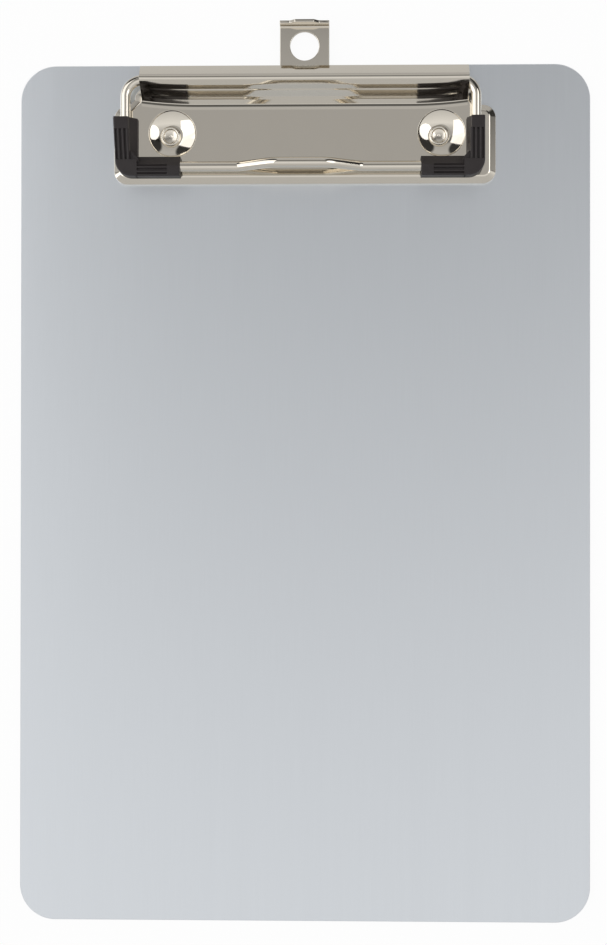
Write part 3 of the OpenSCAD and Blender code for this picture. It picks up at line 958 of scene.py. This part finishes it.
@dataclass
class RibPattern:
    """Rounded ribs side by side, made with nodes that repeat one bar."""

    material: bpy.types.Material
    tree: bpy.types.NodeTree = field(init=False)
    inputs: dict[str, str] = field(init=False)

    def __post_init__(self) -> None:
        """Builds the node group: one bar, repeated along a line."""
        tree = bpy.data.node_groups.new("cap_ribs", "GeometryNodeTree")
        tree.interface.new_socket(name="Geometry", in_out="INPUT", socket_type="NodeSocketGeometry")
        tree.interface.new_socket(name="Geometry", in_out="OUTPUT", socket_type="NodeSocketGeometry")
        self.inputs = {
            "length": tree_input(tree, "Rib length", "NodeSocketFloat"),
            "count": tree_input(tree, "Rib count", "NodeSocketInt"),
            "pitch": tree_input(tree, "Rib pitch", "NodeSocketFloat"),
            "width": tree_input(tree, "Rib width", "NodeSocketFloat"),
        }
        nodes = tree.nodes
        given = nodes.new("NodeGroupInput")
        result = nodes.new("NodeGroupOutput")
        line = nodes.new("GeometryNodeMeshLine")
        step = nodes.new("ShaderNodeCombineXYZ")
        tree.links.new(given.outputs["Rib pitch"], step.inputs["Y"])
        tree.links.new(given.outputs["Rib count"], line.inputs["Count"])
        tree.links.new(step.outputs["Vector"], line.inputs["Offset"])
        spine = nodes.new("GeometryNodeCurvePrimitiveLine")
        ahead = nodes.new("ShaderNodeCombineXYZ")
        tree.links.new(given.outputs["Rib length"], ahead.inputs["X"])
        tree.links.new(ahead.outputs["Vector"], spine.inputs["End"])
        section = nodes.new("GeometryNodeCurvePrimitiveCircle")
        section.inputs["Resolution"].default_value = 16
        half = nodes.new("ShaderNodeMath")
        half.operation = "MULTIPLY"
        half.inputs[1].default_value = 0.5
        tree.links.new(given.outputs["Rib width"], half.inputs[0])
        tree.links.new(half.outputs["Value"], section.inputs["Radius"])
        bar = nodes.new("GeometryNodeCurveToMesh")
        bar.inputs["Fill Caps"].default_value = True
        tree.links.new(spine.outputs["Curve"], bar.inputs["Curve"])
        tree.links.new(section.outputs["Curve"], bar.inputs["Profile Curve"])
        repeat = nodes.new("GeometryNodeInstanceOnPoints")
        tree.links.new(line.outputs["Mesh"], repeat.inputs["Points"])
        tree.links.new(bar.outputs["Mesh"], repeat.inputs["Instance"])
        solid = nodes.new("GeometryNodeRealizeInstances")
        tree.links.new(repeat.outputs["Instances"], solid.inputs["Geometry"])
        paint = nodes.new("GeometryNodeSetMaterial")
        paint.inputs["Material"].default_value = self.material
        tree.links.new(solid.outputs["Geometry"], paint.inputs["Geometry"])
        tree.links.new(paint.outputs["Geometry"], result.inputs["Geometry"])
        self.tree = tree

    def ribs(self, name: str, length: float, count: int, pitch: float, width: float) -> bpy.types.Mesh:
        """Makes ribs that run along X and follow each other along Y, from the origin.

        Args:
            name: Name of the mesh.
            length: Length of a rib in millimetres.
            count: Number of ribs.
            pitch: Distance between ribs in millimetres.
            width: Width of a rib in millimetres.

        Returns:
            The ribs, in metres.
        """
        values = {self.inputs["length"]: length * MM, self.inputs["count"]: count,
                  self.inputs["pitch"]: pitch * MM, self.inputs["width"]: width * MM}
        return baked(name, self.tree, values)


@dataclass(frozen=True)
class CapLeg:
    """Section of one leg of a cap, measured from the wire's axis."""

    outer: float
    inner: float
    lip: float
    root: float
    edge: float

    def section(self, up: float, under: float, drop: float, lean: float) -> list[Point2]:
        """The leg's closed section as [outwards, height].

        Args:
            up: Top of the band.
            under: Underside of the cap.
            drop: How deep the floor between the ribs lies.
            lean: How far the band is moved outwards here.

        Returns:
            The section's points, as many for a block as for the ribbed stretch.
        """
        floor = up - drop
        out = self.outer + lean
        wall = min(self.outer - 0.4, 2.15) + lean
        return [(out, -under), (out, up - 0.4), (out - 0.3, up - 0.2 * drop), (wall, up - 0.5 * drop),
                (wall - 0.15, floor), (lean - self.inner + 0.2, floor), (lean * 0.6 - self.inner, self.root),
                (-self.inner - self.lip, self.edge - under), (-self.inner - self.lip, -under)]


@dataclass
class CornerCaps:
    """The two ribbed rubber caps on the bail's corners."""

    sizes: BoardSizes
    bail: Bail
    ribs: RibPattern
    arm_l: float = 13.0
    run_l: float = 14.6
    up: float = 2.3
    under: float = 2.0
    corner: float = 4.2
    edge: float = 0.4
    end_block: float = 3.4
    corner_arm: float = 1.6
    corner_run: float = 3.3
    rib_drop: float = 0.6
    rib_w: float = 0.78
    rib_pitch: float = 1.17
    rib_first: float = 1.2
    left_arm: CapLeg = CapLeg(2.5, 1.6, 1.5, 0.9, 1.0)
    right_arm: CapLeg = CapLeg(2.2, 1.5, 0.9, 0.9, 1.0)
    run: CapLeg = CapLeg(2.8, 0.2, 2.5, 2.1, 1.7)
    left_lean: float = 0.6
    web_up: float = 1.45

    def at(self, side: int, x: float, y: float, z: float) -> Point3:
        """A cap's own point, outwards and up the arm from the wire's corner, in the scene."""
        return (side * (self.bail.arm_x + x) - self.bail.side,
                self.sizes.down(self.bail.front_down) + y, self.sizes.up(self.bail.hinge_h) + z)

    def loft(self, maker: MeshMaker, rings: Sequence[Sequence[Point3]]) -> None:
        """Joins closed rings into one closed shell."""
        loops = [maker.ring(ring) for ring in rings]
        for a, b in zip(loops, loops[1:]):
            maker.bridge(a, b, True)
        maker.disc(loops[0])
        maker.disc(loops[-1])

    def corner_block(self, maker: MeshMaker, side: int, outer: float) -> None:
        """Adds the plain block round the wire's bend."""
        front = self.run.outer
        rings = []
        levels = ((0.0, -self.under), (0.0, self.up - self.edge),
                  (self.edge * 0.3, self.up - self.edge * 0.3), (self.edge, self.up))
        for inset, z in levels:
            corners = [(-self.corner_run, inset - front), (outer - inset, inset - front),
                       (outer - inset, self.corner_arm), (-self.corner_run, self.corner_arm)]
            plan = rounded(corners, [0.0, self.corner - inset, 0.0, 0.0], 14, True)
            rings.append([self.at(side, x, y, z) for x, y in plan])
        self.loft(maker, rings)

    def web(self, maker: MeshMaker, side: int) -> None:
        """Adds the web in the inner corner, which covers the wire's bend."""
        corners = [(-1.4, 0.6), (-1.4, 4.0), (-2.2, 3.4), (-3.4, 2.2), (-4.0, 0.6)]
        rings = [[self.at(side, x, y, z) for x, y in corners] for z in (-self.under, self.web_up)]
        self.loft(maker, rings)

    def leg_rings(self, leg: CapLeg, start: float, end: float, lean: float) -> list[tuple[float, list[Point2]]]:
        """Sections along a leg as [distance, section]: ribbed first, then the end block."""
        stations = ((start - 0.4, self.rib_drop), (end - self.end_block, self.rib_drop),
                    (end - self.end_block + 0.12, 0.0), (end - 0.25, 0.0), (end, 0.0))
        rings = []
        for distance, drop in stations:
            share = (distance - start) / (end - start)
            height = self.up - (0.15 if distance == end else 0.0)
            rings.append((distance, leg.section(height, self.under, drop, lean * share)))
        return rings

    def build_side(self, name: str, side: int, arm: CapLeg, lean: float,
                   rubber: bpy.types.Material) -> bpy.types.Object:
        """Builds one cap.

        Args:
            name: Its CAD node's name.
            side: 1 for the right cap, -1 for the left one.
            arm: The section of its arm leg.
            lean: How far the arm's band leans outwards at its end.
            rubber: The rubber finish.

        Returns:
            The cap.
        """
        maker = MeshMaker()
        self.corner_block(maker, side, arm.outer)
        self.web(maker, side)
        along_arm = self.leg_rings(arm, self.corner_arm, self.arm_l, lean)
        self.loft(maker, [[self.at(side, x, y, z) for x, z in ring] for y, ring in along_arm])
        along_run = self.leg_rings(self.run, self.corner_run, self.run_l, 0.0)
        self.loft(maker, [[self.at(side, -d, -x, z) for x, z in ring] for d, ring in along_run])
        cap = maker.finish(name + "_moulded")
        bevel_edges(cap, 0.12)
        self.add_ribs(cap, side, arm, lean)
        place(cap, Body.BAIL, Slot.RUBBER, rubber, [name])
        return cap

    def add_ribs(self, cap: bpy.types.Object, side: int, arm: CapLeg, lean: float) -> None:
        """Adds the rounded ribs of both legs to a cap's mesh."""
        base = self.up - self.rib_w / 2 - 0.01
        bm = bmesh.new()
        bm.from_mesh(cap.data)
        arm_len = self.arm_l - self.end_block - self.corner_arm + 0.5
        run_len = self.run_l - self.end_block - self.corner_run + 0.5
        slope = lean / (self.arm_l - self.corner_arm)
        for kind, length, count in (("arm", arm_len, 3), ("run", run_len, 2)):
            bars = self.ribs.ribs(f"{cap.name}_{kind}_ribs", length, count, self.rib_pitch, self.rib_w)
            for vert in bars.vertices:
                along, across, height = (c / MM for c in vert.co)
                if kind == "arm":
                    y = self.corner_arm - 0.3 + along
                    x = arm.outer - self.rib_first - across + slope * (y - self.corner_arm)
                    where = self.at(side, x, y, base + height)
                else:
                    where = self.at(side, 0.3 - self.corner_run - along, self.rib_first + across - self.run.outer,
                                    base + height)
                vert.co = Vector(where) * MM
            bars.update()
            bm.from_mesh(bars)
            bpy.data.meshes.remove(bars)
        bmesh.ops.recalc_face_normals(bm, faces=bm.faces)
        for face in bm.faces:
            face.smooth = True
            face.material_index = 0
        bm.to_mesh(cap.data)
        bm.free()
        cap.data.set_sharp_from_angle(angle=math.radians(32.0))

    def build(self, rubber: bpy.types.Material) -> list[bpy.types.Object]:
        """Builds both caps.

        Args:
            rubber: The rubber finish.

        Returns:
            The left and the right cap.
        """
        left = self.build_side("corner_cap_left", -1, self.left_arm, self.left_lean, rubber)
        right = self.build_side("corner_cap_right", 1, self.right_arm, 0.0, rubber)
        return [left, right]


@dataclass
class HangTab:
    """The sliding tab with its hole and bent lip."""

    edge: float = 0.12

    def build(self, nickel: bpy.types.Material) -> bpy.types.Object:
        """Builds the tab from its solid, with rounded edges.

        Args:
            nickel: The plated finish.

        Returns:
            The tab.
        """
        tab = softened_copy("hang_tab", "tab_strip", self.edge)
        place(tab, Body.TAB, Slot.NICKEL, nickel, ["hang_tab"])
        return tab


@dataclass
class HiddenParts:
    """Springs and bearing tubes under the hood, which keep their solids."""

    spring_finish: DrawnSteel = DrawnSteel(Slot.SPRING.value, (0.50, 0.50, 0.52), 0.28)
    bearing_finish: DrawnSteel = DrawnSteel(Slot.STEEL.value, (0.46, 0.46, 0.46), 0.42)

    def dress(self) -> None:
        """Gives each hidden solid its own steel."""
        finishes = {"spring": self.spring_finish.material(), "bearing": self.bearing_finish.material()}
        for kind, material in finishes.items():
            for side in ("left", "right"):
                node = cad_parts[f"{kind}_{side}"]
                node.data.materials.clear()
                node.data.materials.append(material)
                log.info("%s keeps its solid", node.name)


class WorldBench(NodeBench):
    """Adds and links the nodes of the world."""

    def __init__(self, name: str) -> None:
        """Creates the scene's world with that name, without nodes."""
        world = bpy.data.worlds.new(name)
        bpy.context.scene.world = world
        world.use_nodes = True
        self.tree = world.node_tree
        self.tree.nodes.clear()
        self.out = self.add("ShaderNodeOutputWorld")
        self.direction = self.add("ShaderNodeTexCoord").outputs["Generated"]


@dataclass
class Studio:
    """Floor, lamps, world and camera."""

    camera_at: Point3 = (10.26, 2.54, 431.5)
    camera_turn: Point3 = (0.0043, 0.0230, 0.0010)
    focal_px: float = 1607.5
    centre_shift: Point2 = (2.16, 3.72)
    sensor: float = 36.0
    lamp_far: float = 1100.0
    floor_half: float = 3000.0
    floor_gap: float = 0.05
    floor_colour: Point3 = (0.86, 0.86, 0.86)
    # Share of the floor's plain white where the camera, metal or glass sees it, the rest being lit paper
    floor_glow: float = 0.94
    backdrop: Point3 = (0.98, 0.98, 0.98)
    # Softness of a dark patch's edge in degrees, and what is left of the light inside it
    card_edge: float = 3.0
    card_left: float = 0.08
    # Brightness of the floor where metal mirrors it, where 1 is white
    mirrored_floor: float = 0.66
    # Brightness of the room by the angle from straight up towards +Y
    room: tuple[Point2, ...] = (
        (-90.0, 0.60), (-63.0, 0.61), (-40.0, 0.78), (-16.0, 0.98), (-2.0, 0.67), (10.0, 0.49), (15.0, 0.48),
        (19.0, 0.13), (29.0, 0.13), (36.0, 0.49), (60.0, 0.58), (90.0, 0.50))
    # Dark patches of the room, as [direction, angular radius]
    cards: tuple[tuple[Point3, float], ...] = (((0.73, 0.51, 0.46), 28.0), ((-0.59, 0.69, 0.42), 24.0))

    def floor(self) -> None:
        """Lays a large pale floor under the board."""
        maker = MeshMaker()
        half, low = self.floor_half, -self.floor_gap
        maker.disc(maker.ring([(-half, -half, low), (half, -half, low), (half, half, low), (-half, half, low)]))
        floor = maker.finish("floor")
        floor.modifiers.clear()
        bench = NodeBench("floor_white")
        paper = bench.add("ShaderNodeBsdfDiffuse")
        paper.inputs["Color"].default_value = (*self.floor_colour, 1.0)
        glow = bench.add("ShaderNodeEmission")
        rays = bench.add("ShaderNodeLightPath")
        seen = bench.add("ShaderNodeMath", operation="MULTIPLY")
        seen.inputs[1].default_value = self.floor_glow
        total: bpy.types.NodeSocket = rays.outputs["Is Camera Ray"]
        for ray in ("Is Glossy Ray", "Is Transmission Ray"):
            either = bench.add("ShaderNodeMath", operation="MAXIMUM")
            bench.link(total, either.inputs[0])
            bench.link(rays.outputs[ray], either.inputs[1])
            total = either.outputs["Value"]
        bench.link(total, seen.inputs[0])
        bench.link(bench.spread(rays.outputs["Is Camera Ray"], self.mirrored_floor, 1.0), glow.inputs["Strength"])
        mix = bench.add("ShaderNodeMixShader")
        bench.link(seen.outputs["Value"], mix.inputs["Fac"])
        bench.link(paper.outputs["BSDF"], mix.inputs[1])
        bench.link(glow.outputs["Emission"], mix.inputs[2])
        bench.link(mix.outputs["Shader"], bench.out.inputs["Surface"])
        floor.data.materials.append(bench.material)

    def lamp(self, name: str, polar: float, azimuth: float, size: Point2, radiance: float, shape: str) -> None:
        """Hangs one soft lamp that looks at the clip.

        Args:
            name: The lamp's name.
            polar: Angle from straight up, in degrees.
            azimuth: Angle from +X towards +Y, in degrees.
            size: Its size along its circle of height and across that, in millimetres.
            radiance: Brightness of its face, where 1 is white.
            shape: The lamp's outline.
        """
        data = bpy.data.lights.new(name, "AREA")
        data.shape = shape
        data.size = size[0] * MM
        data.size_y = size[1] * MM
        area = data.size * data.size_y * (math.pi / 4 if shape == "ELLIPSE" else 1.0)
        data.energy = radiance * math.pi * area
        lamp = bpy.data.objects.new(name, data)
        flat = math.sin(math.radians(polar))
        way = Vector((flat * math.cos(math.radians(azimuth)), flat * math.sin(math.radians(azimuth)),
                      math.cos(math.radians(polar))))
        lamp.location = way * self.lamp_far * MM + Vector((0.0, 0.095, 0.0))
        lamp.rotation_euler = way.to_track_quat("Z", "Y").to_euler()
        bpy.context.scene.collection.objects.link(lamp)

    def lamps(self) -> None:
        """Hangs the two soft lamps."""
        self.lamp("lamp_left", 52.0, 168.0, (1280.0, 1160.0), 1.42, "RECTANGLE")
        self.lamp("lamp_right", 45.0, 10.0, (700.0, 720.0), 1.7, "ELLIPSE")

    def dark_card(self, bench: "WorldBench", way: Point3, radius: float) -> bpy.types.NodeSocket:
        """A soft-edged dark patch of the room.

        Args:
            bench: The world's nodes.
            way: Direction of its middle.
            radius: Its angular radius in degrees.

        Returns:
            1 outside the patch and almost 0 inside it.
        """
        middle = Vector(way).normalized()
        dot = bench.add("ShaderNodeVectorMath", operation="DOT_PRODUCT")
        dot.inputs[1].default_value = middle
        bench.link(bench.direction, dot.inputs[0])
        edge = bench.add("ShaderNodeMapRange", interpolation_type="SMOOTHSTEP")
        edge.inputs["From Min"].default_value = math.cos(math.radians(radius - self.card_edge))
        edge.inputs["From Max"].default_value = math.cos(math.radians(radius + self.card_edge))
        edge.inputs["To Min"].default_value = self.card_left
        bench.link(dot.outputs["Value"], edge.inputs["Value"])
        return edge.outputs["Result"]

    def world(self) -> None:
        """Lights the room, with a dark band past the clip's back and white where the camera sees it."""
        bench = WorldBench("studio")
        split = bench.add("ShaderNodeSeparateXYZ")
        bench.link(bench.direction, split.inputs["Vector"])
        angle = bench.add("ShaderNodeMath", operation="ARCTAN2")
        bench.link(split.outputs["Y"], angle.inputs[0])
        bench.link(split.outputs["Z"], angle.inputs[1])
        remap = bench.add("ShaderNodeMapRange")
        remap.inputs["From Min"].default_value = -math.pi / 2
        remap.inputs["From Max"].default_value = math.pi / 2
        bench.link(angle.outputs["Value"], remap.inputs["Value"])
        ramp = bench.add("ShaderNodeValToRGB")
        stops = [((degrees + 90.0) / 180.0, value) for degrees, value in self.room]
        ends = ramp.color_ramp.elements
        for element, (position, value) in zip((ends[0], ends[1]), (stops[0], stops[-1])):
            element.position = position
            element.color = (value, value, value, 1.0)
        for position, value in stops[1:-1]:
            ramp.color_ramp.elements.new(position).color = (value, value, value, 1.0)
        bench.link(remap.outputs["Result"], ramp.inputs["Fac"])
        room = bench.add("ShaderNodeBackground")
        bench.link(ramp.outputs["Color"], room.inputs["Color"])
        strength = bench.add("ShaderNodeMath", operation="MULTIPLY")
        for socket, (way, radius) in zip(strength.inputs, self.cards):
            bench.link(self.dark_card(bench, way, radius), socket)
        bench.link(strength.outputs["Value"], room.inputs["Strength"])
        white = bench.add("ShaderNodeBackground")
        white.inputs["Color"].default_value = (*self.backdrop, 1.0)
        rays = bench.add("ShaderNodeLightPath")
        mix = bench.add("ShaderNodeMixShader")
        bench.link(rays.outputs["Is Camera Ray"], mix.inputs["Fac"])
        bench.link(room.outputs["Background"], mix.inputs[1])
        bench.link(white.outputs["Background"], mix.inputs[2])
        bench.link(mix.outputs["Shader"], bench.out.inputs["Surface"])

    def camera(self) -> None:
        """Stands the camera above the board, as the photograph's was."""
        data = bpy.data.cameras.new("camera")
        data.sensor_fit = "AUTO"
        data.sensor_width = self.sensor
        data.lens = self.focal_px / IMAGE_H * data.sensor_width
        data.shift_x = -self.centre_shift[0] / IMAGE_H
        data.shift_y = self.centre_shift[1] / IMAGE_H
        data.clip_start = 0.01
        camera = bpy.data.objects.new("camera", data)
        camera.location = Vector(self.camera_at) * MM
        camera.rotation_euler = Euler(self.camera_turn, "XYZ")
        bpy.context.scene.collection.objects.link(camera)
        bpy.context.scene.camera = camera

    def build(self) -> None:
        """Sets up the whole studio."""
        self.floor()
        self.lamps()
        self.world()
        self.camera()
        bpy.context.scene.view_settings.view_transform = "Standard"


def main() -> None:
    """Builds every piece in order and reports each one."""
    logging.basicConfig(level=logging.INFO, format="%(name)s: %(message)s")
    sizes = BoardSizes()
    nickel = NickelPlate().material()
    Board(sizes).build(BrushedAluminium())
    plate = BasePlate(sizes)
    plate.build_field(nickel)
    plate.build_hood(nickel)
    Rivets(sizes).build(NickelPlate("rivet_nickel", roughness=0.24, wave_strength=0.02).material())
    bail = Bail(sizes)
    bail.build(nickel)
    rubber = BlackRubber().material()
    CornerCaps(sizes, bail, RibPattern(rubber)).build(rubber)
    HangTab().build(nickel)
    HiddenParts().dress()
    Studio().build()


if __name__ == "__main__":
    main()
